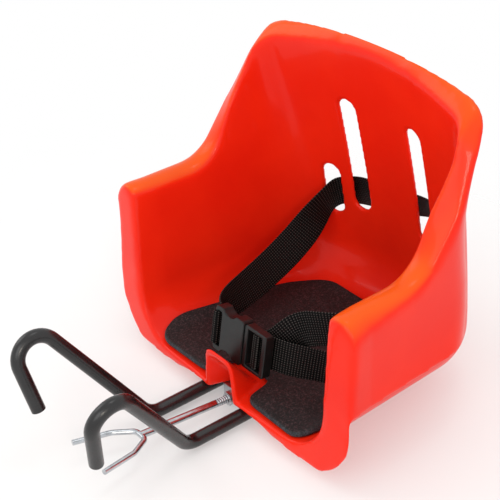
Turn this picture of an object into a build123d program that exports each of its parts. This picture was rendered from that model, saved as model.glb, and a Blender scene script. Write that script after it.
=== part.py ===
from build123d import *
import os

# Handlebar seat for a small child, in millimetres, +Z up, -Y towards the handlebar.
# The origin lies on the ground under the middle of the bounding box; lengths along Y below
# are measured from the front edge of the seat.
hook_reach = 149.35
seat_depth = 189.96
front_y = (hook_reach - seat_depth) / 2

# Moulded shell
wall = 4.0
armrest_height = 145.0
skirt_height = 68.0
top_height = 259.5
top_side_height = 244.5
top_half_width = 121.0
top_corner = 30.0
top_band_run = 0.74
armrest_bend = 36.0
wing_bend = 60.0
top_bend = 30.0
front_lean = 0.05
front_bow = 4.5
floor_round = 38.0
lip_low = 7.5
lip_half_width = 139.0
lip_side_height = 36.0
lip_corner_x = 122.0
lip_arch_foot = 60.0
lip_arch_top = 36.0
lip_side_round = 18.0
lip_arch_round = 10.0
# Longer than the seat, for cuts that go right through it
through = 400.0

# Hook rods under the floor and the clamps that hold them
clamp_steel = 2.0
rod_radius = 4.0
sleeve_radius = 5.5
rod_gap = 0.3
rod_x = 24.0
rod_rear = 140.0
rod_z = clamp_steel + sleeve_radius
floor_under = rod_z + sleeve_radius + rod_gap
floor_top = floor_under + wall
hook_bend = 16.5
rod_bend = 18.0
sleeve_cap = 2.0
clamp_length = 20.0
front_clamp_y = 28.0
rear_clamp_y = 105.0
clamp_flange = 52.0
tab_y = 8.0
tab_half_width = 12.0
tab_steel = 2.5

# Clamp screws
bolt_x = 41.0
bolt_radius = 3.0
bolt_clearance = 0.2
bolt_head_radius = 6.0
bolt_head_height = 3.0
washer_radius = 6.5
washer_height = 1.2
nut_flats = 10.0
nut_height = 6.0
bolt_end = 1.5

# Fork that straddles the head tube of the cycle
stem_radius = 3.0
stem_rise = 5.64
stem_z = 7.3
stem_front = 76.0
stem_rear = 42.0
yoke_radius = 2.2
stem_nut_height = 5.0
stem_clearance = 0.3

# Pommel with the tunnel for the rods' fork
pommel_height = 54.0
pommel_rear = 27.0
pommel_foot = 20.5
pommel_half_top = 16.5
pommel_round = 9.0
pommel_rear_foot = 11.0
pommel_rear_half_top = 9.0
pommel_rear_height = 2.0

# Pad, belt and buckle
pad_thickness = 5.0
web_width = 28.0
web_thickness = 1.5
web_gap = 0.3
slot_width = 17.0
belt_slot_x = 66.0
belt_slot_low = 81.0
belt_slot_high = 128.0
back_slot_x = 37.0
back_slot_low = 93.0
back_slot_high = 199.0
buckle_y = 20.5
buckle_z = 54.0
buckle_lean = 10.8
buckle_thickness = 10.0
female_left = -30.0
female_right = 5.0
female_width = 38.0
male_right = 31.0
male_width = 36.0
buckle_gap = 0.3

# Plan levels of the seat: height, half width, half width and depth at the rear corner, depth of the back,
# radius of the rear corner
inner_levels = [
    (floor_top, 111.0, 103.0, 163.0, 187.0, 44.0),
    (93.0, 114.5, 107.0, 158.0, 182.0, 44.0),
    (199.0, 118.0, 113.0, 140.0, 162.0, 32.0),
    (275.0, 119.0, 116.0, 128.0, 146.0, 18.0),
]
outer_levels = [
    (0.0, 138.0, 129.0, 131.0, 187.0, 35.0),
    (93.0, 140.5, 129.5, 129.0, 183.0, 35.0),
    (142.0, 142.0, 130.0, 127.0, 172.0, 35.0),
    (199.0, 141.0, 133.0, 128.0, 163.0, 28.0),
    (237.0, 136.0, 127.0, 149.0, 158.0, 14.0),
    (275.0, 133.0, 124.0, 150.0, 160.0, 14.0),
]
# The rolled rim in upright sections from its inner edge over the crest to its outer edge: distance from the
# middle, then depth and height of the armrest's end, the wing's foot, the wing's top and the back's top
rim_sections = [
    (112.0, (80.0, 138.0), (103.0, 190.0), (129.0, 232.0), (150.0, 248.0)),
    (126.0, (81.0, armrest_height), (111.5, 188.0), (136.0, 221.0), (163.0, 245.0)),
    (144.0, (77.0, 126.0), (125.0, 188.0), (158.0, 219.0), (186.0, 240.0)),
]

os.makedirs("parts", exist_ok=True)


def plan(height):
    return Plane((0, front_y, height))


def front_plane(depth):
    return Plane((0, front_y + depth, 0), x_dir=(1, 0, 0), z_dir=(0, -1, 0))


def save(piece, name):
    piece.part.label = name
    export_step(piece.part, "parts/" + name + ".step")


def plan_outline(level, front, grow=0, height=None):
    """Plan of the seat at one level: bowed front, straight sides, curved back, rounded rear corners."""
    level_height, half_width, rear_half, rear_depth, back, corner = level
    half = half_width + grow
    rear = rear_half + grow
    depth = rear_depth + grow
    with BuildSketch(plan(level_height if height is None else height)) as outline:
        with BuildLine():
            ThreePointArc((-half, front), (0, front - front_bow), (half, front))
            Line((half, front), (rear, depth))
            ThreePointArc((rear, depth), (0, back + grow), (-rear, depth))
            Line((-rear, depth), (-half, front))
        make_face()
        fillet(outline.vertices().sort_by(Axis.Y)[-2:], corner + grow)
    return outline.sketch


def side_profile(section, drop):
    """Side view below the rim: level armrest, a wing that rises and leans back, a flatter band at the top."""
    side, armrest, foot, wing, top = section
    back = 0.85 * drop
    down = 0.5 * drop
    level = armrest[1] - drop
    with BuildSketch(Plane((side, front_y, 0), x_dir=(0, 1, 0), z_dir=(1, 0, 0))) as view:
        with BuildLine():
            crest = FilletPolyline(
                (-through / 2, level),
                (armrest[0] + drop / 2, level),
                (foot[0] + back, foot[1] - down),
                (wing[0] + back, wing[1] - down),
                (top[0] + back, top[1] - down),
                (top[0] + back + top_band_run * (through - top[1]), through),
                radius=(armrest_bend, wing_bend, top_bend, top_bend),
            )
            Polyline(crest @ 1, (2 * through, through), (2 * through, -wall), (-through / 2, -wall), crest @ 0)
        make_face()
    return view.sketch


def rim_form(drop):
    """Everything below the rim: flat across the seat inside, rolled over the armrests and wings."""
    inner_side = rim_sections[0][0]
    with BuildPart() as form:
        for section in rim_sections:
            add(side_profile(section, drop))
        loft()
        mirror(about=Plane.YZ)
        add(side_profile(rim_sections[0], drop))
        extrude(amount=2 * inner_side, dir=(-1, 0, 0))
    return form.part


def top_arch(drop):
    """Front view below the rim: the back's top is a shallow arch with rounded shoulders."""
    shoulder = top_half_width - drop
    low = top_side_height - drop
    side = outer_levels[2][1] + wall
    with BuildSketch(front_plane(through)) as arch:
        with BuildLine():
            ThreePointArc((-shoulder, low), (0, top_height - drop), (shoulder, low))
            Polyline((shoulder, low), (side, armrest_height), (side, -wall), (-side, -wall), (-side, armrest_height),
                     (-shoulder, low))
        make_face()
        fillet(arch.vertices().sort_by(Axis.Y)[-2:], top_corner)
    return arch.sketch


def trim_to_rim(drop):
    add(rim_form(drop), mode=Mode.INTERSECT)
    add(top_arch(drop))
    extrude(amount=2 * through, dir=(0, -1, 0), mode=Mode.INTERSECT)


def arch_section(depth, foot, half_top, low, top, corner):
    """Upright arch for the pommel and its tunnel, standing across the seat."""
    with BuildSketch(front_plane(depth)) as section:
        with BuildLine():
            Polyline((-foot, low), (-half_top, top), (half_top, top), (foot, low), (-foot, low))
        make_face()
        fillet(section.vertices().sort_by(Axis.Y)[-2:], corner)
    return section.sketch


def inner_form(grow, low, front, lean=0):
    """Solid that fills the bucket, grown outwards by a wall or shrunk by a pad."""
    with BuildPart() as form:
        add(plan_outline(inner_levels[0], front + lean * low, grow, low))
        for level in inner_levels[1:]:
            add(plan_outline(level, front + lean * level[0], grow))
        loft()
        bottom = form.faces().sort_by(Axis.Z)[0]
        fillet([e for e in bottom.edges() if e.center().Y > front_y + wall], floor_round + grow)
    return form.part


before_front = -15 * wall
cavity = inner_form(0, floor_top, before_front)
bucket = inner_form(wall, floor_under, 0, front_lean)

# Space between the bucket and the outer skin, open underneath and below the skirt
with BuildPart() as hollow:
    for level in outer_levels:
        add(plan_outline(level, front_lean * level[0] + wall, -wall))
    loft()
    trim_to_rim(wall)
    with Locations((0, front_y + wall, 0)):
        Box(through, through, 2 * skirt_height, align=(Align.CENTER, Align.MIN, Align.CENTER))
    add(bucket, mode=Mode.SUBTRACT)

with BuildPart() as seat_shell:
    for level in outer_levels:
        add(plan_outline(level, front_lean * level[0]))
    loft()
    add(bucket)
    trim_to_rim(0)
    add(cavity, mode=Mode.SUBTRACT)
    add(hollow.part, mode=Mode.SUBTRACT)
    # Front lip: bottom edge arched up to the rods in the middle, round corners at the sides
    with BuildSketch(front_plane(floor_round)) as under:
        with BuildLine():
            lip = Polyline((0, floor_under), (lip_arch_top, floor_under), (lip_arch_foot, lip_low),
                           (lip_corner_x, lip_low), (lip_half_width, lip_side_height), (through, skirt_height),
                           (through, -wall), (0, -wall))
            mirror(lip, about=Plane.YZ)
        make_face()
        fillet([v for v in under.vertices() if lip_corner_x - 1 < abs(v.X) < lip_half_width + 1], lip_side_round)
        fillet([v for v in under.vertices() if lip_arch_top - 1 < abs(v.X) < lip_arch_foot + 1], lip_arch_round)
    extrude(amount=2 * floor_round, dir=(0, -1, 0), mode=Mode.SUBTRACT)
    # Pommel and tunnel
    add(arch_section(-front_bow, pommel_foot, pommel_half_top, floor_under, pommel_height, pommel_round))
    add(arch_section(pommel_rear, pommel_rear_foot, pommel_rear_half_top, floor_under,
                     floor_under + pommel_rear_height, pommel_rear_height / 2))
    loft()
    add(arch_section(-front_bow - 1, pommel_foot - wall, pommel_half_top - wall, 0, pommel_height - wall,
                     pommel_round - wall / 2))
    add(arch_section(pommel_rear - wall, pommel_rear_foot - wall, pommel_rear_half_top - wall, 0,
                     floor_under - pommel_rear_height, pommel_rear_height / 2))
    loft(mode=Mode.SUBTRACT)
    # Strap slots through the back
    with BuildSketch(front_plane(through)):
        for side in (-1, 1):
            with Locations((side * belt_slot_x, (belt_slot_low + belt_slot_high) / 2)):
                SlotOverall(belt_slot_high - belt_slot_low, slot_width, rotation=90)
            with Locations((side * back_slot_x, (back_slot_low + back_slot_high) / 2)):
                SlotOverall(back_slot_high - back_slot_low, slot_width, rotation=90)
    extrude(amount=through - pommel_height, dir=(0, -1, 0), mode=Mode.SUBTRACT)
    # Countersunk holes for the clamp screws
    with Locations(plan(floor_top)):
        with Locations(*[(sx * bolt_x, y) for sx in (-1, 1) for y in (front_clamp_y, rear_clamp_y)]):
            CounterSinkHole(bolt_radius + bolt_clearance, bolt_head_radius + bolt_clearance, depth=2 * wall)
save(seat_shell, "seat_shell")


# Foam pad: follows the floor and its rounded sides, with a gap in front round the pommel
with BuildPart() as seat_pad:
    with BuildSketch(plan(floor_top - 1)) as pad_plan:
        with BuildLine():
            half_pad = FilletPolyline(
                (0, 34), (20, 30), (26, 3), (86, 2), (101, 22), (99, 100), (84, 126), (40, 158), (0, 163),
                radius=(8, 8, 16, 16, 24, 24, 30),
            )
            mirror(half_pad, about=Plane.YZ)
        make_face()
    extrude(amount=floor_round)
    add(cavity, mode=Mode.INTERSECT)
    add(inner_form(-pad_thickness, floor_top + pad_thickness, before_front), mode=Mode.SUBTRACT)
save(seat_pad, "seat_pad")


def bent_bar(points, radii, radius):
    """Round bar along a run of straight lengths joined by bends."""
    with BuildPart() as bar:
        with BuildLine() as run:
            FilletPolyline(*points, radius=radii)
        with BuildSketch(Plane(run.line @ 0, z_dir=run.line % 0)):
            Circle(radius)
        sweep()
    return bar.part


# Steel hook rods in plastic sleeves: straight under the floor, up and outwards, over the handlebar
hook_start = Vector(rod_x, front_y + rod_rear, rod_z)
hook_foot = Vector(rod_x, front_y - 54, rod_z)
hook_top = Vector(67, front_y - 154, 151)
hook_end = Vector(39, front_y - 138.6, 47.4)
rod_end = hook_end + (hook_top - hook_end).normalized() * sleeve_cap
rod_form = bent_bar((hook_start, hook_foot, hook_top, rod_end), (rod_bend, hook_bend), rod_radius)

with BuildPart() as right_hook_rod:
    add(rod_form)
save(right_hook_rod, "right_hook_rod")

with BuildPart() as right_hook_sleeve:
    add(bent_bar((hook_start, hook_foot, hook_top, hook_end), (rod_bend, hook_bend), sleeve_radius))
    add(rod_form, mode=Mode.SUBTRACT)
save(right_hook_sleeve, "right_hook_sleeve")

with BuildPart() as left_hook_rod:
    mirror(right_hook_rod.part, about=Plane.YZ)
save(left_hook_rod, "left_hook_rod")

with BuildPart() as left_hook_sleeve:
    mirror(right_hook_sleeve.part, about=Plane.YZ)
save(left_hook_sleeve, "left_hook_sleeve")


# Pressed clamps: one strap round both rods, flanges screwed to the floor
def clamp_strap(depth):
    flat_z = floor_under - clamp_steel / 2
    with BuildSketch(front_plane(depth + clamp_length / 2)) as strap:
        with Locations((0, flat_z)):
            Rectangle(2 * clamp_flange, clamp_steel)
        for side in (-1, 1):
            with Locations((side * rod_x, rod_z)):
                Circle(sleeve_radius + clamp_steel)
                Rectangle(2 * (sleeve_radius + clamp_steel), floor_under - rod_z, align=(Align.CENTER, Align.MIN))
        for side in (-1, 1):
            with Locations((side * rod_x, rod_z)):
                Circle(sleeve_radius, mode=Mode.SUBTRACT)
                Rectangle(2 * sleeve_radius, floor_under - rod_z, align=(Align.CENTER, Align.MIN), mode=Mode.SUBTRACT)
        with Locations((0, floor_under)):
            Rectangle(2 * clamp_flange, sleeve_radius, align=(Align.CENTER, Align.MIN), mode=Mode.SUBTRACT)
    return strap.sketch


def clamp_holes(depth):
    with Locations(plan(floor_under)):
        with Locations((-bolt_x, depth), (bolt_x, depth)):
            Hole(bolt_radius + bolt_clearance, depth=2 * clamp_steel)


stem_slope = Vector(0, -1, 0).rotate(Axis.X, -stem_rise)


def stem_plane(depth):
    """Plane across the fork stem where its axis stands this far behind the front edge."""
    start = Vector(0, front_y, stem_z)
    along = -depth / -stem_slope.Y
    return Plane(start + stem_slope * along, x_dir=(1, 0, 0), z_dir=stem_slope)


with BuildPart() as front_clamp:
    add(clamp_strap(front_clamp_y))
    extrude(amount=clamp_length, dir=(0, -1, 0))
    fillet(front_clamp.edges().filter_by(Axis.Z).group_by(Axis.X)[0], 6)
    fillet(front_clamp.edges().filter_by(Axis.Z).group_by(Axis.X)[-1], 6)
    with BuildSketch(plan(floor_under)):
        with Locations((0, tab_y)):
            Rectangle(2 * tab_half_width, front_clamp_y - tab_y, align=(Align.CENTER, Align.MIN))
    extrude(amount=-clamp_steel)
    with BuildSketch(front_plane(tab_y + tab_steel)):
        with Locations((0, floor_under)):
            Rectangle(2 * tab_half_width, floor_under - clamp_steel / 2, align=(Align.CENTER, Align.MAX))
    extrude(amount=tab_steel, dir=(0, -1, 0))
    clamp_holes(front_clamp_y)
    with BuildSketch(stem_plane(tab_y + 10)):
        Circle(stem_radius + stem_clearance)
    extrude(amount=20, mode=Mode.SUBTRACT)
save(front_clamp, "front_clamp")

with BuildPart() as rear_clamp:
    add(clamp_strap(rear_clamp_y))
    extrude(amount=clamp_length, dir=(0, -1, 0))
    fillet(rear_clamp.edges().filter_by(Axis.Z).group_by(Axis.X)[0], 6)
    fillet(rear_clamp.edges().filter_by(Axis.Z).group_by(Axis.X)[-1], 6)
    clamp_holes(rear_clamp_y)
save(rear_clamp, "rear_clamp")

screw_spots = [(side * bolt_x, depth) for side in (-1, 1) for depth in (front_clamp_y, rear_clamp_y)]
flange_under = floor_under - clamp_steel
nut_top = flange_under - washer_height
shank_end = nut_top - nut_height - bolt_end

with BuildPart() as clamp_bolts:
    with Locations(plan(floor_top)):
        with Locations(*[(x, y, -bolt_head_height) for x, y in screw_spots]):
            Cone(bolt_radius, bolt_head_radius, bolt_head_height, align=(Align.CENTER, Align.CENTER, Align.MIN))
            Cylinder(
                bolt_radius, floor_top - bolt_head_height - shank_end, align=(Align.CENTER, Align.CENTER, Align.MAX)
            )
save(clamp_bolts, "clamp_bolts")

with BuildPart() as clamp_washers:
    with BuildSketch(plan(flange_under)):
        with Locations(*screw_spots):
            Circle(washer_radius)
            Circle(bolt_radius + bolt_clearance, mode=Mode.SUBTRACT)
    extrude(amount=-washer_height)
save(clamp_washers, "clamp_washers")

with BuildPart() as clamp_lock_nuts:
    with BuildSketch(plan(nut_top)):
        with Locations(*screw_spots):
            RegularPolygon(nut_flats / 2, 6, major_radius=False)
            Circle(bolt_radius + bolt_clearance / 2, mode=Mode.SUBTRACT)
    extrude(amount=-nut_height)
save(clamp_lock_nuts, "clamp_lock_nuts")

# Fork: threaded stem through the clamp's tab, wire yoke welded to its front end
yoke_plane = Plane(
    Vector(0, front_y, stem_z) + stem_slope * stem_front,
    x_dir=(1, 0, 0),
    z_dir=stem_slope.rotate(Axis.X, 90),
)
yoke_points = [(-21.6, 49), (-15.5, 19), (-6, 3), (6, 3), (15.5, 19), (21.6, 49)]

with BuildPart() as fork_yoke:
    add(bent_bar([yoke_plane.from_local_coords(Vector(x, y, 0)) for x, y in yoke_points], (8, 5, 5, 8), yoke_radius))
save(fork_yoke, "fork_yoke")

with BuildPart() as fork_stem:
    with BuildSketch(stem_plane(stem_rear)):
        Circle(stem_radius)
    extrude(amount=stem_rear / -stem_slope.Y + stem_front + 3)
    add(fork_yoke.part, mode=Mode.SUBTRACT)
save(fork_stem, "fork_stem")


def stem_nut(depth):
    with BuildPart() as nut:
        with BuildSketch(stem_plane(depth)):
            RegularPolygon(nut_flats / 2, 6, major_radius=False)
            Circle(stem_radius + stem_clearance, mode=Mode.SUBTRACT)
        extrude(amount=stem_nut_height)
    return nut


adjusting_nut = stem_nut(tab_y - 0.7)
save(adjusting_nut, "adjusting_nut")
lock_nut = stem_nut(tab_y + tab_steel + 0.7 + stem_nut_height)
save(lock_nut, "lock_nut")

# Side-release buckle standing on edge behind the pommel
buckle_centre = Vector(0, front_y + buckle_y, buckle_z)
buckle_face = Vector(0, -1, 0).rotate(Axis.X, -buckle_lean)
buckle_plane = Plane(buckle_centre, x_dir=(1, 0, 0), z_dir=buckle_face)
female_length = female_right - female_left
pocket_width = 27.0
pocket_height = 6.0
bar_width = 3.0
bar_slot = 5.0
notch_x = -13.0
notch_radius = 10.0
notch_depth = 4.0

with BuildPart() as buckle_female:
    with BuildSketch(buckle_plane.offset(-buckle_thickness / 2)) as female_face:
        with Locations(((female_left + female_right) / 2, 0)):
            RectangleRounded(female_length, female_width, 3)
        with Locations((notch_x, female_width / 2 + notch_radius - notch_depth),
                       (notch_x, -female_width / 2 - notch_radius + notch_depth)):
            Circle(notch_radius, mode=Mode.SUBTRACT)
        with Locations((female_left + bar_width + bar_slot / 2, 0)):
            Rectangle(bar_slot, web_width + 2, mode=Mode.SUBTRACT)
    extrude(amount=buckle_thickness)
    with BuildSketch(buckle_plane.offset(-pocket_height / 2)):
        with Locations((female_right + 1, 0)):
            Rectangle(25, pocket_width, align=(Align.MAX, Align.CENTER))
    extrude(amount=pocket_height, mode=Mode.SUBTRACT)
save(buckle_female, "buckle_female")

male_left = female_right + buckle_gap
window_left = male_left + 4
window_right = male_right - 4.5
cross_bar_x = (window_left + window_right) / 2
cross_bar = 4.0
male_thickness = 8.0
arm_tip = -17.0
arm_width = 5.0
arm_height = 4.0

with BuildPart() as buckle_male:
    with BuildSketch(buckle_plane.offset(-male_thickness / 2)):
        with Locations(((male_left + male_right) / 2, 0)):
            RectangleRounded(male_right - male_left, male_width, 2)
        with Locations(((window_left + window_right) / 2, 0)):
            Rectangle(window_right - window_left, web_width + 3, mode=Mode.SUBTRACT)
    extrude(amount=male_thickness)
    with BuildSketch(buckle_plane.offset(-arm_height / 2)):
        with Locations((cross_bar_x, 0)):
            Rectangle(cross_bar, male_width - 2)
        with Locations((male_left + 1, -9.5), (male_left + 1, 0), (male_left + 1, 9.5)):
            Rectangle(male_left + 1 - arm_tip, arm_width, align=(Align.MAX, Align.CENTER))
    extrude(amount=arm_height)
save(buckle_male, "buckle_male")


# Lap belt: one webbing, looped on the buckle's left bar, along the left side, through the belt slots behind
# the back, along the right side to the cross bar of the buckle, with a loose tail
def web_loop(bar_x, bar_size, bar_height):
    """Turn of webbing round an upright bar of the buckle."""
    inner_length = bar_size + 2 * web_gap
    inner_height = bar_height + 2 * web_gap
    foot = buckle_plane.from_local_coords(Vector(bar_x, -web_width / 2, 0))
    with BuildPart() as turn:
        with BuildSketch(Plane(foot, x_dir=(1, 0, 0), z_dir=buckle_plane.y_dir)):
            Rectangle(inner_length + 2 * web_thickness, inner_height + 2 * web_thickness)
            Rectangle(inner_length, inner_height, mode=Mode.SUBTRACT)
        extrude(amount=web_width)
    return turn.part


def web_run(stations):
    """Length of webbing through stations that give the middle, the direction and the upright edge."""
    with BuildPart() as run:
        for middle, direction, upright in stations:
            with BuildSketch(Plane(Vector(*middle) + Vector(0, front_y, 0), x_dir=upright, z_dir=direction)):
                Rectangle(web_width, web_thickness)
        loft(ruled=True)
    return run.part


up = (0, 0, 1)
lean = (0, 0.19, 0.98)
tilt = (0, -0.19, 0.98)
belt_mid = (belt_slot_low + belt_slot_high) / 2
loop_left = female_left - web_gap - web_thickness
with BuildPart() as lap_belt:
    add(web_loop(female_left + bar_width / 2, bar_width, buckle_thickness))
    add(web_run(
        [
            ((loop_left + 0.6, buckle_y + 4, buckle_z - 0.8), (-1, 0.3, 0), lean),
            ((-40, 30, 54), (-0.6, 0.8, 0), up),
            ((-52, 52, 53), (-0.4, 0.9, 0), up),
            ((-64, 95, 56), (-0.15, 1, 0.2), up),
            ((-67, 140, 78), (0, 0.9, 0.45), (0, -0.4, 0.9)),
            ((-belt_slot_x, 166, belt_mid - 4), (0, 1, 0.3), (0, -0.2, 0.98)),
            ((-belt_slot_x + 1, 178, belt_mid), (0.3, 1, 0), tilt),
            ((-belt_slot_x + 8, 183.8, belt_mid), (1, 0.3, 0), tilt),
            ((-30, 185.9, belt_mid), (1, 0, 0), tilt),
            ((30, 185.9, belt_mid), (1, 0, 0), tilt),
            ((belt_slot_x - 8, 183.8, belt_mid), (1, -0.3, 0), tilt),
            ((belt_slot_x - 1, 178, belt_mid), (0.3, -1, 0), tilt),
            ((belt_slot_x, 166, belt_mid - 4), (0, -1, -0.3), (0, -0.2, 0.98)),
            ((70, 140, 78), (0.1, -0.9, -0.45), (0, -0.4, 0.9)),
            ((78, 100, 58), (0.05, -1, -0.2), up),
            ((70, 62, 54), (-0.5, -0.9, 0), up),
            ((52, 40, 54), (-0.8, -0.6, 0), up),
            ((34, buckle_y + 8.5, buckle_z - 2), (-1, -0.1, 0), lean),
            ((cross_bar_x, buckle_y + 4.6, buckle_z), (-1, -0.2, 0), lean),
        ]
    ))
    add(web_run(
        [
            ((cross_bar_x + 3, buckle_y + 4.6, buckle_z), (1, 0.2, 0), lean),
            ((36, buckle_y + 6.4, buckle_z - 2), (1, -0.1, 0), lean),
            ((60, buckle_y + 1, 46), (1, -0.1, 0), up),
            ((92, buckle_y + 4, 46), (1, 0.1, 0), up),
        ]
    ))
    add(web_loop(cross_bar_x, cross_bar, arm_height))
save(lap_belt, "lap_belt")
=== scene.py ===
import bmesh
import bpy
import numpy as np
from mathutils import Matrix, Vector
from mathutils.geometry import delaunay_2d_cdt


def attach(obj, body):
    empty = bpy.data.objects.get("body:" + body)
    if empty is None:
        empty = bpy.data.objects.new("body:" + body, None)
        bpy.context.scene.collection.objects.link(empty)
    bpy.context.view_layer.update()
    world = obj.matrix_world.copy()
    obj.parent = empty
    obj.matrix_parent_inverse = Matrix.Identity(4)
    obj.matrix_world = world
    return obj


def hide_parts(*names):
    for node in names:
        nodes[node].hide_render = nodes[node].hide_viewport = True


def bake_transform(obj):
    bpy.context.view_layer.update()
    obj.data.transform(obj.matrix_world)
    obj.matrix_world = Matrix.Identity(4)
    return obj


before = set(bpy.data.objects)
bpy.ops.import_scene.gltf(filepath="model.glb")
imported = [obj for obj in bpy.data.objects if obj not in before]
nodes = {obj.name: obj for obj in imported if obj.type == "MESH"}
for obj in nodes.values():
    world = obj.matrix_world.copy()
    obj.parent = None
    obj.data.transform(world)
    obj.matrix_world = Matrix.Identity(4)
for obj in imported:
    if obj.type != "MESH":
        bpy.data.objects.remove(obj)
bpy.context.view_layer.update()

# Lengths are in millimetres, as in the drawing of the seat, and turned to metres when a mesh is made.
# Depths are counted from the seat's front edge, which lies at front_y.
front_y = -20.305
front_offset = np.array([0, front_y, 0])


def linear(code):
    """sRGB hex code to linear red, green, blue and alpha."""
    values = [int(code[i:i + 2], 16) / 255 for i in (1, 3, 5)]
    return [v / 12.92 if v <= 0.04045 else ((v + 0.055) / 1.055) ** 2.4 for v in values] + [1.0]


def shade_smooth(mesh):
    """Makes all faces of a mesh smooth."""
    mesh.polygons.foreach_set("use_smooth", np.ones(len(mesh.polygons), bool))


def add_mesh(name, vertices, faces):
    """Smooth mesh object from points in millimetres, with depth counted from the front edge, and from faces
    as lists of corners."""
    mesh = bpy.data.meshes.new(name)
    mesh.from_pydata(((np.asarray(vertices, float) + front_offset) / 1000).tolist(), [], faces)
    mesh.validate()
    shade_smooth(mesh)
    piece = bpy.data.objects.new(name, mesh)
    bpy.context.scene.collection.objects.link(piece)
    return piece


def apply_modifiers(piece):
    """Freezes a piece's modifiers into its mesh."""
    evaluated = piece.evaluated_get(bpy.context.evaluated_depsgraph_get())
    finished = bpy.data.meshes.new_from_object(evaluated)
    piece.modifiers.clear()
    piece.data = finished


def add_modifier(piece, kind, **settings):
    """Adds a modifier with its settings."""
    modifier = piece.modifiers.new(kind.lower(), kind)
    for key, value in settings.items():
        setattr(modifier, key, value)


# Camera
def place_camera(position, azimuth, elevation, roll, lens):
    """Camera whose look direction follows from azimuth and elevation, turned about it by roll."""
    a, e, r = np.radians([azimuth, elevation, roll])
    look = np.array([-np.sin(a) * np.cos(e), np.cos(a) * np.cos(e), -np.sin(e)])
    right = np.cross(look, [0, 0, 1])
    right /= np.linalg.norm(right)
    up = np.cross(right, look)
    right, up = np.cos(r) * right + np.sin(r) * up, -np.sin(r) * right + np.cos(r) * up
    data = bpy.data.cameras.new("camera")
    data.lens = lens
    data.sensor_width = 36
    data.clip_end = 50
    camera = bpy.data.objects.new("camera", data)
    turn = Matrix(np.stack([right, up, -look], 1).tolist()).to_4x4()
    camera.matrix_world = Matrix.Translation(Vector(position)) @ turn
    bpy.context.scene.collection.objects.link(camera)
    bpy.context.scene.camera = camera


place_camera(position=(0.6597, -0.4602 + front_y / 1000, 0.6343), azimuth=53.27, elevation=31.445,
             roll=-3.061, lens=93.6)


# Moulded pieces: the seat and the two halves of the buckle
relax_out = 0.5
relax_back = -0.52
last_rounds = 6


def relax(points, edges, share, rounds):
    """Moves every point by a share of the way to the mean of its neighbours, round after round."""
    ends = np.concatenate([edges[:, 0], edges[:, 1]])
    others = np.concatenate([edges[:, 1], edges[:, 0]])
    count = np.bincount(ends, minlength=len(points))[:, None]
    for _ in range(rounds):
        total = np.stack([np.bincount(ends, points[others, k], len(points)) for k in range(3)], 1)
        points = points + share * (total / count - points)
    return points


def moulded_copy(node, name, voxel, rounds, soft=None, soft_rounds=0, keep=1.0, shape=None, finish=None):
    """Copy of a rigid node whose edges are rounded as a mould rounds them: the surface is drawn again on a
    fine cell and relaxed, out and back so that thin walls keep their size, then relaxed more where soft
    says so. shape comes before that last relaxing, and finish after it."""
    mesh = nodes[node].data.copy()
    mesh.transform(nodes[node].matrix_world)
    cleaned = bmesh.new()
    cleaned.from_mesh(mesh)
    bmesh.ops.remove_doubles(cleaned, verts=cleaned.verts, dist=1e-6)
    cleaned.to_mesh(mesh)
    cleaned.free()
    mesh.materials.clear()
    piece = bpy.data.objects.new(name, mesh)
    bpy.context.scene.collection.objects.link(piece)
    add_modifier(piece, "REMESH", mode="VOXEL", voxel_size=voxel / 1000)
    apply_modifiers(piece)
    points = np.empty(len(piece.data.vertices) * 3)
    piece.data.vertices.foreach_get("co", points)
    points = points.reshape(-1, 3) * 1000 - front_offset
    edges = np.empty(len(piece.data.edges) * 2, int)
    piece.data.edges.foreach_get("vertices", edges)
    edges = edges.reshape(-1, 2)
    for _ in range(rounds):
        points = relax(relax(points, edges, relax_out, 1), edges, relax_back, 1)
    if shape is not None:
        points = shape(points)
    if soft is not None:
        points = relax(points, edges, relax_out * soft(points)[:, None], soft_rounds)
    if finish is not None:
        points = relax(finish(points), edges, relax_out * soft(points)[:, None], last_rounds)
    piece.data.vertices.foreach_set("co", ((points + front_offset) / 1000).ravel())
    piece.data.update()
    if keep < 1:
        add_modifier(piece, "DECIMATE", ratio=keep)
        apply_modifiers(piece)
    shade_smooth(piece.data)
    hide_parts(node)
    return piece


def near(value, low, high, run):
    """One between two limits, falling to nothing over a run on either side."""
    return np.clip((value - low) / run + 1, 0, 1) * np.clip((high - value) / run + 1, 0, 1)


# Limits of the shell's edges, well past it where an edge is open to that side
shell_front = -50
shell_back = 300
shell_top = 300
least_share = 0.2


def rim_share(points):
    """One on the rolled rim and the upper front edges, a part of it down the front corners and at the feet
    of the front arch, and little near the lower free edges and the slots."""
    x, y, z = points.T
    x = np.abs(x)
    slots = near(x, 0, 82, 6) * near(y, 126, shell_back, 8) * near(z, 0, 208, 8)
    rim = near(z, 90, shell_top, 16) * (1 - slots)
    corner = 0.45 * near(x, 120, 200, 10) * near(y, shell_front, 12, 8)
    band = near(x, 104, 129, 4) * near(y, shell_front, 12, 8) * near(z, 44, shell_top, 12)
    foot = 0.7 * near(x, 26, 72, 6) * near(y, shell_front, 6, 6) * near(z, -50, 12, 4)
    return np.max([rim, corner, band, foot, np.full(len(x), least_share)], axis=0)


corner_half = 140.0
corner_run = 36.0
corner_height = 60.0
corner_low = 7.5
corner_depth = 9


def lip_corner(points):
    """Lower corners of the front, trimmed to a quarter of an ellipse: the width at a height falls from the
    full half width to the bottom as the root of one less the square of the height's share."""
    x, y, z = points.T
    drop = np.clip((corner_height - z) / (corner_height - corner_low), 0, 1)
    limit = corner_half - corner_run * (1 - np.sqrt(1 - drop ** 2))
    front = near(y, shell_front, corner_depth, 1)
    new_x = np.where((front > 0) & (z < corner_height), np.clip(x, -limit, limit), x)
    return np.column_stack([new_x, y, z])


arch_middle = 258.2
arch_fall = 7.7
strip_width = 4
strip_count = 66
strip_start = -132
front_gain = 0.012


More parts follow.
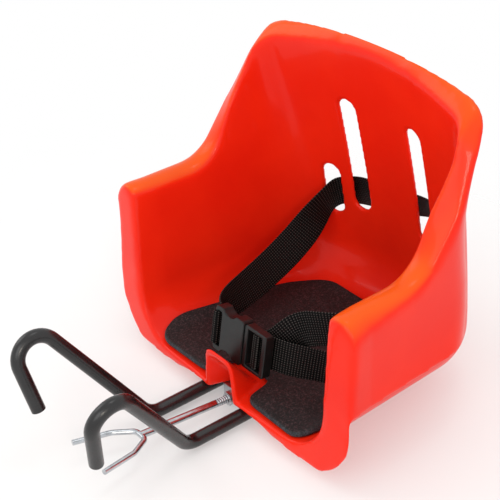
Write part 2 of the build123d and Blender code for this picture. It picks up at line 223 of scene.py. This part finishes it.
def top_arch(points):
    """Top edge brought to a smooth arch that falls with the square of the distance from the middle: each
    strip across the seat is lifted by what its highest point lacks, less and less further down. The front
    edges get back the width that rounding took."""
    x, y, z = points.T
    strip = np.clip((x - strip_start) / strip_width, 0, strip_count - 1).astype(int)
    highest = np.zeros(strip_count)
    np.maximum.at(highest, strip, z)
    strip_middle = np.arange(strip_count) * strip_width + strip_start + strip_width / 2
    lack = arch_middle - arch_fall * (x / 100) ** 2 - np.interp(x, strip_middle, highest)
    lift = lack * near(np.abs(x), 0, 100, 16) * near(z, 246, 400, 30)
    widen = 1 + front_gain * near(y, shell_front, 10, 16) * near(z, 36, 150, 24)
    return np.column_stack([x * widen, y, z + lift])


seat = moulded_copy("seat_shell", "seat_moulding", voxel=1.4, rounds=24, soft=rim_share, soft_rounds=30,
                    keep=0.45, shape=lip_corner, finish=top_arch)
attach(seat, "root")
buckle_socket = moulded_copy("buckle_female", "buckle_socket", voxel=0.5, rounds=6)
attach(buckle_socket, "root")
buckle_plug = moulded_copy("buckle_male", "buckle_plug", voxel=0.5, rounds=6)
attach(buckle_plug, "male_half")

# Foam pad
floor_top = 17.3
floor_round = 38.0
pad_thickness = 5.0
pad_edge = 1.6
pad_lift = 0.8
pad_grid = 4.0
swell_height = 0.6
swell_run = 25


def floor_height(x, y):
    """Height of the seat's floor: level inside a rounded field, then a quarter circle up to the walls."""
    side = np.maximum(np.abs(x) - (73 - 8 * y / 163), 0)
    rear = np.maximum(y - (149 - 24 * (x / 107) ** 2), 0)
    out = np.minimum(np.hypot(side, rear), floor_round - 1)
    return floor_top + floor_round - np.sqrt(floor_round ** 2 - out ** 2)


def rounded_outline(corners, radii, steps=7):
    """Closed outline through corners, each turned into a curve that starts and ends a radius away from
    it: point(t) = (1-t)^2 start + 2t(1-t) corner + t^2 end."""
    corners = np.array(corners, float)
    radii = np.array(radii, float)[:, None]
    before = np.roll(corners, 1, 0) - corners
    after = np.roll(corners, -1, 0) - corners
    start = corners + before / np.linalg.norm(before, axis=1)[:, None] * radii
    end = corners + after / np.linalg.norm(after, axis=1)[:, None] * radii
    t = np.linspace(0, 1, steps)[None, :, None]
    curve = (1 - t) ** 2 * start[:, None] + 2 * t * (1 - t) * corners[:, None] + t ** 2 * end[:, None]
    return curve.reshape(-1, 2)


def even_outline(outline, count=240):
    """Closed outline drawn again with points at even distances along it."""
    steps = np.linspace(0, 1, 6)[:-1, None]
    fine = (outline[:, None] + steps * (np.roll(outline, -1, 0) - outline)[:, None]).reshape(-1, 2)
    closed = np.vstack([fine, fine[:1]])
    run = np.concatenate([[0], np.cumsum(np.linalg.norm(np.diff(closed, axis=0), axis=1))])
    even = np.linspace(0, run[-1], count + 1)[:-1]
    return np.stack([np.interp(even, run, closed[:, k]) for k in (0, 1)], 1)


def make_pad():
    """Foam sheet cut to a U, laid on the floor: a triangle grid inside the outline, lifted to the floor's
    height with a shallow swell, then thickened upwards with rounded edges."""
    half = [(20, 31), (25, 2), (87, 1), (96, 22), (87, 84), (78, 132), (58, 159)]
    corners = half + [(-x, y) for x, y in half[::-1]]
    radii = [9, 9, 11, 11, 26, 16, 17]
    rim = even_outline(rounded_outline(corners, radii + radii[::-1]))
    x, y = np.meshgrid(np.arange(-100, 101, pad_grid), np.arange(0, 166, pad_grid))
    inside = np.stack([x.ravel(), y.ravel()], 1)
    clear = np.linalg.norm(inside[:, None] - rim[None], axis=2).min(1) > 2.5
    flat = np.vstack([rim, inside[clear]])
    index = np.arange(len(rim))
    border = np.stack([index, np.roll(index, -1)], 1).tolist()
    made = delaunay_2d_cdt([Vector(p) for p in flat.tolist()], border, [], 1, 1e-5)
    points = np.array([(v.x, v.y) for v in made[0]])
    rim_gap = np.linalg.norm(points[:, None] - rim[None], axis=2).min(1)
    wave = np.sin(points[:, 0] * 0.045 + 0.8) * np.sin(points[:, 1] * 0.05)
    swell = swell_height * wave * np.minimum(rim_gap / swell_run, 1)
    low = floor_height(points[:, 0], points[:, 1]) + pad_lift + np.maximum(swell, 0)
    pad = add_mesh("foam_pad", np.column_stack([points, low]), made[2])
    facing = bmesh.new()
    facing.from_mesh(pad.data)
    bmesh.ops.recalc_face_normals(facing, faces=facing.faces)
    if facing.faces[0].normal.z < 0:
        bmesh.ops.reverse_faces(facing, faces=facing.faces)
    facing.to_mesh(pad.data)
    facing.free()
    add_modifier(pad, "SOLIDIFY", thickness=pad_thickness / 1000, offset=1)
    add_modifier(pad, "BEVEL", width=pad_edge / 1000, segments=3, limit_method="ANGLE", angle_limit=0.9)
    apply_modifiers(pad)
    shade_smooth(pad.data)
    # Faces not turned up, round the pad's edges, get a share for the painted edge highlight
    upward = np.empty(len(pad.data.vertices) * 3)
    pad.data.vertices.foreach_get("normal", upward)
    cut = np.clip((0.8 - upward[2::3]) / 0.4, 0, 1)
    pad.data.attributes.new("painted_edge_highlight", "FLOAT", "POINT").data.foreach_set("value", cut)
    return pad


pad = make_pad()
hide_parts("seat_pad")
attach(pad, "root")

# Lap belt. The buckle leans back by 10.8 degrees; its middle stands at this depth and height
web_width = 28.0
web_thickness = 1.5
web_gap = 0.3
buckle_y = 20.5
buckle_z = 54.0
lean = np.array([0, 0.1874, 0.9823])
face = np.array([0, -0.9823, 0.1874])


def through_stations(stations, spacing=1.6):
    """Smooth line through stations: each coordinate is a cubic of the length along the chords whose slopes
    agree at every station."""
    stations = np.array(stations, float)
    chord = np.concatenate([[0], np.cumsum(np.linalg.norm(np.diff(stations[:, :3], axis=0), axis=1))])
    width = np.diff(chord)
    count = len(stations)
    system = np.eye(count)
    right = np.zeros_like(stations)
    inner = np.arange(1, count - 1)
    system[inner, inner - 1] = width[:-1]
    system[inner, inner] = 2 * (width[:-1] + width[1:])
    system[inner, inner + 1] = width[1:]
    slope = np.diff(stations, axis=0) / width[:, None]
    right[inner] = 6 * (slope[1:] - slope[:-1])
    bend = np.linalg.solve(system, right)
    s = np.linspace(0, chord[-1], int(chord[-1] / spacing) + 2)
    k = np.clip(np.searchsorted(chord, s, "right") - 1, 0, count - 2)
    a = ((chord[k + 1] - s) / width[k])[:, None]
    b = 1 - a
    return (a * stations[k] + b * stations[k + 1]
            + ((a ** 3 - a) * bend[k] + (b ** 3 - b) * bend[k + 1]) * width[k, None] ** 2 / 6)


def web_section():
    """Webbing cut across: a flat band with rounded selvedges, as points across its width and thickness."""
    turn = np.linspace(-np.pi / 2, np.pi / 2, 7)
    half = web_thickness / 2
    edge = np.stack([web_width / 2 - half + half * np.cos(turn), half * np.sin(turn)], 1)
    flat = np.linspace(web_width / 2 - half, -web_width / 2 + half, 9)[1:-1]
    top = np.stack([flat, np.full(7, half)], 1)
    return np.vstack([edge, top, -edge, -top])


def lay_web(line, upright, closed=False):
    """Band carried along a line: at each point the section is spanned by the upright edge, made square to
    the line, and the normal of both. Gives vertices, side faces, end faces and the weave's coordinates,
    length and width in mm."""
    along = np.gradient(line, axis=0)
    if closed:
        along = (np.roll(line, -1, 0) - np.roll(line, 1, 0)) / 2
    along /= np.linalg.norm(along, axis=1)[:, None]
    across = upright - (upright * along).sum(1)[:, None] * along
    across /= np.linalg.norm(across, axis=1)[:, None]
    normal = np.cross(along, across)
    section = web_section()
    points = (line[:, None] + section[None, :, :1] * across[:, None]
              + section[None, :, 1:] * normal[:, None])
    rows, columns = points.shape[:2]
    index = np.arange(rows * columns).reshape(rows, columns)
    ahead = np.roll(index, -1, 0)
    sides = np.stack([index, np.roll(index, -1, 1), np.roll(ahead, -1, 1), ahead], -1)
    sides = (sides if closed else sides[:-1]).reshape(-1, 4)
    ends = index[:0] if closed else np.stack([index[0, ::-1], index[-1]])
    length = np.concatenate([[0], np.cumsum(np.linalg.norm(np.diff(line, axis=0), axis=1))])
    weave = np.stack(np.broadcast_arrays(length[:, None], section[None, :, 0]), -1)
    return points.reshape(-1, 3), sides, ends, weave.reshape(-1, 2)


def make_web(name, runs):
    """One piece of webbing from several runs, with its weave coordinates as a UV map in millimetres."""
    faces = []
    first = 0
    for points, sides, ends, _ in runs:
        faces += (sides + first).tolist() + (ends + first).tolist()
        first += len(points)
    piece = add_mesh(name, np.vstack([run[0] for run in runs]), faces)
    corner = np.empty(len(piece.data.loops), int)
    piece.data.loops.foreach_get("vertex_index", corner)
    layer = piece.data.uv_layers.new(name="weave")
    layer.data.foreach_set("uv", np.vstack([run[3] for run in runs])[corner].ravel())
    return piece


def bar_turn(bar_x, bar_size, bar_height, squareness=0.45):
    """Turn of webbing round an upright bar of the buckle: a rounded rectangle in the plane across the bar,
    as a circle's cosine and sine raised to a power under one."""
    half_x = bar_size / 2 + web_gap + web_thickness / 2
    half_y = bar_height / 2 + web_gap + web_thickness / 2
    angle = np.linspace(0, 2 * np.pi, 49)[:-1]
    flat = np.stack([np.cos(angle), np.sin(angle)], 1)
    flat = np.sign(flat) * np.abs(flat) ** squareness * np.array([half_x, half_y])
    centre = np.array([bar_x, buckle_y, buckle_z])
    line = centre + flat[:, :1] * np.array([1.0, 0, 0]) + flat[:, 1:] * face
    return lay_web(line, np.tile(lean, (len(line), 1)), closed=True)


def belt_run(stations):
    """Run of the belt through stations of middle and upright edge."""
    smooth = through_stations(stations)
    return lay_web(smooth[:, :3], smooth[:, 3:])


left_and_back = [
    (-31.2, 24.5, 53.2, 0, 0.19, 0.98), (-40, 30, 54, 0, 0, 1), (-52, 52, 53, -0.35, 0, 0.93),
    (-64, 95, 55, -0.55, -0.1, 0.8), (-67, 140, 75, -0.45, -0.35, 0.8), (-66, 166, 95.5, 0, -0.2, 0.98),
    (-65, 178, 99.5, 0, -0.19, 0.98), (-58, 184.2, 101, 0, -0.19, 0.98),
    (-37, 186.2, 106.5, 0, -0.19, 0.98), (0, 188, 112, 0, -0.3, 0.95),
    (36, 191, 117, 0, -0.5, 0.87), (55, 187.5, 112, 0, -0.35, 0.94),
    (64.5, 180, 105, 0, -0.22, 0.98), (65.8, 170, 101.5, 0, -0.2, 0.98),
]
right_side = [
    (65.6, 172, 102.5, 0, -0.2, 0.98), (66, 166, 100.5, 0, -0.2, 0.98), (73, 140, 89, 0.2, -0.4, 0.9),
    (81, 100, 84, 0.1, 0, 1), (77, 68, 84, 0, 0, 1), (60, 51, 82, 0, 0.1, 1), (38, 43, 71, 0, 0.2, 0.98),
    (26, 31, 58, 0, 0.19, 0.98), (17.9, 25.1, 54, 0, 0.19, 0.98),
]
loose_tail = [
    (18.9, 25.1, 54, 0, 0.19, 0.98), (36, 30.5, 53, 0, 0.19, 0.98), (60, 48, 49, 0, 0.1, 1),
    (76, 57.5, 47, 0, 0, 1),
]
belt_left = make_web("belt_left_and_back", [
    bar_turn(bar_x=-28.5, bar_size=3.0, bar_height=10.0), belt_run(left_and_back)])
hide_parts("lap_belt")
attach(belt_left, "root")
belt_right = make_web("belt_right_and_tail", [
    belt_run(right_side), belt_run(loose_tail), bar_turn(bar_x=17.9, bar_size=4.0, bar_height=4.0)])


# Materials
def add_node(tree, kind, settings=None, **inputs):
    """Adds a shader node. Each input takes a value, another node's output, or a node, for its first output.
    The letter i and a number name an input by its place."""
    node = tree.nodes.new("ShaderNode" + kind)
    for key, value in (settings or {}).items():
        setattr(node, key, value)
    for key, value in inputs.items():
        socket = node.inputs[int(key[1:])] if key[1:].isdigit() else node.inputs[key.replace("_", " ")]
        if isinstance(value, bpy.types.Node):
            value = value.outputs[0]
        if isinstance(value, bpy.types.NodeSocket):
            tree.links.new(value, socket)
        else:
            socket.default_value = value
    return node


def new_material(name, **sockets):
    """Material with its node tree and shader; fixed values go straight to the shader's sockets."""
    material = bpy.data.materials.new(name)
    material.use_nodes = True
    tree = material.node_tree
    shader = tree.nodes["Principled BSDF"]
    for key, value in sockets.items():
        shader.inputs[key.replace("_", " ")].default_value = value
    return material, tree, shader


def connect(tree, shader, colour, roughness, normal=None):
    """Links a colour output and the nodes for roughness and normal to the shader."""
    tree.links.new(colour, shader.inputs["Base Color"])
    tree.links.new(roughness.outputs[0], shader.inputs["Roughness"])
    if normal is not None:
        tree.links.new(normal.outputs[0], shader.inputs["Normal"])


def grain(tree, size, detail=2.0, stretch=(1, 1, 1)):
    """Noise on Object coordinates whose blots are about this many millimetres across."""
    place_on = add_node(tree, "TexCoord").outputs["Object"]
    scaled = add_node(tree, "Mapping", Vector=place_on, Scale=stretch)
    return add_node(tree, "TexNoise", Vector=scaled, Scale=1000 / size, Detail=detail).outputs["Fac"]


def two_tones(tree, factor, low, high, start=0.35, stop=0.65):
    """Colour that goes from one tone to another as the factor rises from start to stop."""
    share = add_node(tree, "MapRange", Value=factor, From_Min=start, From_Max=stop)
    mixed = add_node(tree, "Mix", {"data_type": "RGBA"}, i0=share, i6=linear(low), i7=linear(high))
    return mixed.outputs[2]


def paint(material, *pieces):
    """Gives pieces this material and no other."""
    for piece in pieces:
        piece.data.materials.clear()
        piece.data.materials.append(material)


# Polyethylene, moulded and left glossy: strong red with faint cloudy tone; the rim's faces turned up are
# painted a more orange red, a painted lit tone for the light falling on them; a soft orange-peel surface
plastic, tree, shader = new_material("moulded_polyethylene", IOR=1.5, Specular_IOR_Level=0.12,
                                     Coat_Weight=0.16, Coat_Roughness=0.06)
cloud = grain(tree, 60, 2)
facing = add_node(tree, "NewGeometry").outputs["Normal"]
upward = add_node(tree, "SeparateXYZ", Vector=facing).outputs["Z"]
spot = add_node(tree, "TexCoord").outputs["Object"]
level = add_node(tree, "SeparateXYZ", Vector=spot).outputs["Z"]
smooth_step = {"interpolation_type": "SMOOTHSTEP"}
# Painted light: faces high on the rim and turned up get the more orange red, standing in for the light on
# them
on_rim = add_node(tree, "MapRange", smooth_step, Value=level, From_Min=0.09, From_Max=0.13)
turned = add_node(tree, "MapRange", smooth_step, Value=upward, From_Min=0.25, From_Max=0.95)
painted_light_share = add_node(tree, "Math", {"operation": "MULTIPLY"}, i0=on_rim, i1=turned)
red = add_node(tree, "Mix", {"data_type": "RGBA"}, i0=painted_light_share,
               i6=two_tones(tree, cloud, "#EA210C", "#F0270E"),
               i7=two_tones(tree, cloud, "#E44E0A", "#E8560C"))
gloss = add_node(tree, "MapRange", Value=grain(tree, 14, 3), To_Min=0.26, To_Max=0.36)
peel = add_node(tree, "Math", {"operation": "ADD"}, i0=grain(tree, 9, 1), i1=grain(tree, 2.2, 1))
relief = add_node(tree, "Bump", Height=peel, Distance=0.1 / 1000, Strength=0.4)
connect(tree, shader, red.outputs[2], gloss, relief)
paint(plastic, seat)

# Closed-cell foam, cut from sheet: near black with a maroon cast and fine pale specks where cells are
# open; the rounded edges, the faces not turned up, get a painted highlight in a lighter blue grey
cell_size = 1.1
foam, tree, shader = new_material("cut_cell_foam", IOR=1.45, Sheen_Weight=0.12, Sheen_Roughness=0.5,
                                  Sheen_Tint=linear("#7A5A5C"))
spot = add_node(tree, "TexCoord").outputs["Object"]
cells = add_node(tree, "TexVoronoi", Vector=spot, Scale=1000 / cell_size).outputs["Distance"]
speck = add_node(tree, "Math", {"operation": "MULTIPLY"}, i0=cells, i1=grain(tree, 2.4, 3))
# Painted highlight: faces not turned up, round the pad's edges, take the lighter blue grey
painted_edge_highlight = add_node(tree, "Attribute", {"attribute_name": "painted_edge_highlight"}).outputs["Fac"]
dark = add_node(tree, "Mix", {"data_type": "RGBA"}, i0=painted_edge_highlight,
                i6=two_tones(tree, speck, "#050303", "#3E2B2E", 0.2, 0.52),
                i7=two_tones(tree, speck, "#171C1F", "#3A464C", 0.14, 0.5))
gloss = add_node(tree, "MapRange", Value=grain(tree, 3, 2), To_Min=0.62, To_Max=0.85)
relief = add_node(tree, "Bump", Height=cells, Distance=0.25 / 1000, Strength=0.7)
connect(tree, shader, dark.outputs[2], gloss, relief)
paint(foam, pad)

# Polypropylene webbing, woven with ribs across its width: the tops of the ribs are painted lighter in short
# dashes, a painted highlight where they catch the light. The pattern is a little coarser than the real
# weave, so that it shows
rib_pitch = 2.2
thread_pitch = 1.9
webbing, tree, shader = new_material("woven_polypropylene", IOR=1.49, Specular_IOR_Level=0.1)
weave = add_node(tree, "UVMap", {"uv_map": "weave"}).outputs["UV"]
axes = add_node(tree, "SeparateXYZ", Vector=weave)
rib_turn = add_node(tree, "Math", {"operation": "MULTIPLY"}, i0=axes.outputs["X"],
                    i1=2 * np.pi / rib_pitch)
rib = add_node(tree, "Math", {"operation": "SINE"}, i0=rib_turn)
thread_turn = add_node(tree, "Math", {"operation": "MULTIPLY"}, i0=axes.outputs["Y"],
                       i1=2 * np.pi / thread_pitch)
thread = add_node(tree, "Math", {"operation": "SINE"}, i0=thread_turn)
woven = add_node(tree, "Math", {"operation": "MULTIPLY_ADD"}, i0=thread, i1=0.7, i2=rib)
height = add_node(tree, "MapRange", Value=woven, From_Min=-1.7, From_Max=1.7).outputs[0]
gloss = add_node(tree, "MapRange", Value=grain(tree, 1.5, 2), To_Min=0.45, To_Max=0.7)
relief = add_node(tree, "Bump", Height=height, Distance=0.5 / 1000, Strength=0.9)
# Painted highlight: the weave's high points are coloured lighter
connect(tree, shader, two_tones(tree, height, "#010101", "#4C4845", 0.64, 1.0), gloss, relief)
paint(webbing, belt_left, belt_right)

# Acetal, moulded satin: very dark grey with a fine even grain, smoother where fingers rub it
acetal, tree, shader = new_material("moulded_acetal", IOR=1.48, Specular_IOR_Level=0.36)
gloss = add_node(tree, "MapRange", Value=grain(tree, 6, 3), To_Min=0.3, To_Max=0.44)
relief = add_node(tree, "Bump", Height=grain(tree, 0.8, 2), Distance=0.05 / 1000, Strength=0.6)
connect(tree, shader, two_tones(tree, grain(tree, 8, 3), "#0D0F0F", "#131616"), gloss, relief)
paint(acetal, buckle_socket, buckle_plug)

# Soft vinyl tube, pushed over the rods: dark grey satin, faint streaks along it from the die
vinyl, tree, shader = new_material("extruded_soft_vinyl", IOR=1.53)
streaks = grain(tree, 12, 3, stretch=(1, 0.2, 1))
gloss = add_node(tree, "MapRange", Value=grain(tree, 5, 3), To_Min=0.2, To_Max=0.32)
relief = add_node(tree, "Bump", Height=grain(tree, 1.6, 2), Distance=0.06 / 1000, Strength=0.6)
connect(tree, shader, two_tones(tree, streaks, "#131213", "#1C1B1C"), gloss, relief)
paint(vinyl, nodes["left_hook_sleeve"], nodes["right_hook_sleeve"])

# Drawn steel rod: grey metal with fine lines along the rod, seen only at its open rear end
steel, tree, shader = new_material("drawn_steel", Metallic=1.0)
lines = grain(tree, 1.2, 2, stretch=(1, 0.1, 1))
gloss = add_node(tree, "MapRange", Value=lines, To_Min=0.3, To_Max=0.5)
connect(tree, shader, two_tones(tree, grain(tree, 4, 3), "#8A8C8E", "#A2A4A6"), gloss)
paint(steel, nodes["left_hook_rod"], nodes["right_hook_rod"])

# Zinc plate on pressed steel: pale bluish metal, cloudy where the plating thins
zinc, tree, shader = new_material("zinc_plated_steel", Metallic=1.0)
gloss = add_node(tree, "MapRange", Value=grain(tree, 3, 3), To_Min=0.26, To_Max=0.46)
relief = add_node(tree, "Bump", Height=grain(tree, 1.0, 2), Distance=0.04 / 1000, Strength=0.5)
connect(tree, shader, two_tones(tree, grain(tree, 7, 4), "#A9AEB2", "#C6CBCE"), gloss, relief)
zinc_nodes = ("front_clamp", "rear_clamp", "clamp_bolts", "clamp_washers", "clamp_lock_nuts",
              "adjusting_nut", "lock_nut")
paint(zinc, *[nodes[name] for name in zinc_nodes])

# Bright plate on the fork's steel: mirror-like with slight waviness. The stem is threaded behind a depth;
# the pitch drawn is coarser than the real one, so that it shows
thread_from = -9.0
pitch_shown = 2.0
plate, tree, shader = new_material("bright_plated_steel", Metallic=1.0)
spot = add_node(tree, "TexCoord").outputs["Object"]
depth = add_node(tree, "SeparateXYZ", Vector=spot).outputs["Y"]
turns = add_node(tree, "Math", {"operation": "MULTIPLY"}, i0=depth, i1=2 * np.pi * 1000 / pitch_shown)
groove = add_node(tree, "Math", {"operation": "SINE"}, i0=turns)
threaded = add_node(tree, "Math", {"operation": "GREATER_THAN"}, i0=depth,
                    i1=(thread_from + front_y) / 1000)
ridge = add_node(tree, "Math", {"operation": "MULTIPLY"}, i0=groove, i1=threaded)
gloss = add_node(tree, "MapRange", Value=grain(tree, 4, 3), To_Min=0.16, To_Max=0.28)
waves = add_node(tree, "Bump", Height=grain(tree, 6, 2), Distance=0.03 / 1000, Strength=0.6)
relief = add_node(tree, "Bump", Height=ridge, Distance=0.35 / 1000, Strength=1.0, Normal=waves)
connect(tree, shader, two_tones(tree, grain(tree, 5, 2), "#B4B8BC", "#C8CCD0"), gloss, relief)
paint(plate, nodes["fork_stem"], nodes["fork_yoke"])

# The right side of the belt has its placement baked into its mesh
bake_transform(belt_right)

# Stage: pale floor that fades into a white surround
floor_rings = 12
floor_points = 96


def make_floor():
    """Level round floor as a grid of rings; it carries the shadow and fades out with distance."""
    angle = np.linspace(0, 2 * np.pi, floor_points + 1)[:-1]
    ring = np.linspace(0.02, 1.6, floor_rings)[:, None]
    level = np.zeros((floor_rings, floor_points))
    points = np.stack([ring * np.cos(angle), ring * np.sin(angle), level], -1).reshape(-1, 3)
    index = np.arange(floor_rings * floor_points).reshape(floor_rings, floor_points)
    quads = np.stack([index[:-1], index[1:], np.roll(index[1:], -1, 1), np.roll(index[:-1], -1, 1)], -1)
    below = points * 1000 - np.array([0, front_y, 0.4])
    floor = add_mesh("floor", below, quads.reshape(-1, 4).tolist() + [index[0].tolist()])
    material, tree, shader = new_material("matt_white_paint", Base_Color=linear("#F4F4F3"), Roughness=0.9,
                                          Specular_IOR_Level=0.0)
    spot = add_node(tree, "TexCoord").outputs["Object"]
    distance = add_node(tree, "VectorMath", {"operation": "LENGTH"}, i0=spot).outputs["Value"]
    fade = add_node(tree, "MapRange", smooth_step, Value=distance, From_Min=0.22, From_Max=0.5, To_Min=0.7,
                    To_Max=0.0)
    mix = add_node(tree, "MixShader", Fac=fade, i1=add_node(tree, "BsdfTransparent"), i2=shader)
    tree.links.new(mix.outputs[0], tree.nodes["Material Output"].inputs["Surface"])
    paint(material, floor)


make_floor()


def add_area_lamp(name, position, target, size, watts, colour="#FFFFFF"):
    """Soft square lamp that points at a target."""
    data = bpy.data.lights.new(name, "AREA")
    data.size = size
    data.energy = watts
    data.color = linear(colour)[:3]
    lamp = bpy.data.objects.new(name, data)
    lamp.location = position
    lamp.rotation_euler = (Vector(target) - Vector(position)).to_track_quat("-Z", "Y").to_euler()
    bpy.context.scene.collection.objects.link(lamp)


add_area_lamp("key lamp", (1.9, -1.0, 1.15), target=(0, 0, 0.1), size=0.45, watts=8.5, colour="#FFF4E6")
add_area_lamp("front lamp", (0.75, -1.5, 1.2), target=(0, 0.05, 0.12), size=1.2, watts=7)
add_area_lamp("side lamp", (-1.5, -0.7, 1.3), target=(0, 0, 0.12), size=1.0, watts=5)
add_area_lamp("top lamp", (0.1, 0.3, 1.9), target=(0, 0.05, 0.15), size=0.5, watts=2)

# Surround: white where the camera or a mirror sees it, softer as a light
world = bpy.data.worlds.new("studio")
bpy.context.scene.world = world
world.use_nodes = True
tree = world.node_tree
seen = add_node(tree, "LightPath")
straight = add_node(tree, "Math", {"operation": "MAXIMUM"}, i0=seen.outputs["Is Camera Ray"],
                    i1=seen.outputs["Is Glossy Ray"])
seen_white = add_node(tree, "Math", {"operation": "MAXIMUM"}, i0=straight,
                      i1=seen.outputs["Is Transmission Ray"])
strength = add_node(tree, "MapRange", Value=seen_white, To_Min=0.95, To_Max=1.0)
tree.nodes["Background"].inputs["Color"].default_value = (1, 1, 1, 1)
tree.links.new(strength.outputs[0], tree.nodes["Background"].inputs["Strength"])
bpy.context.scene.view_settings.view_transform = "Standard"
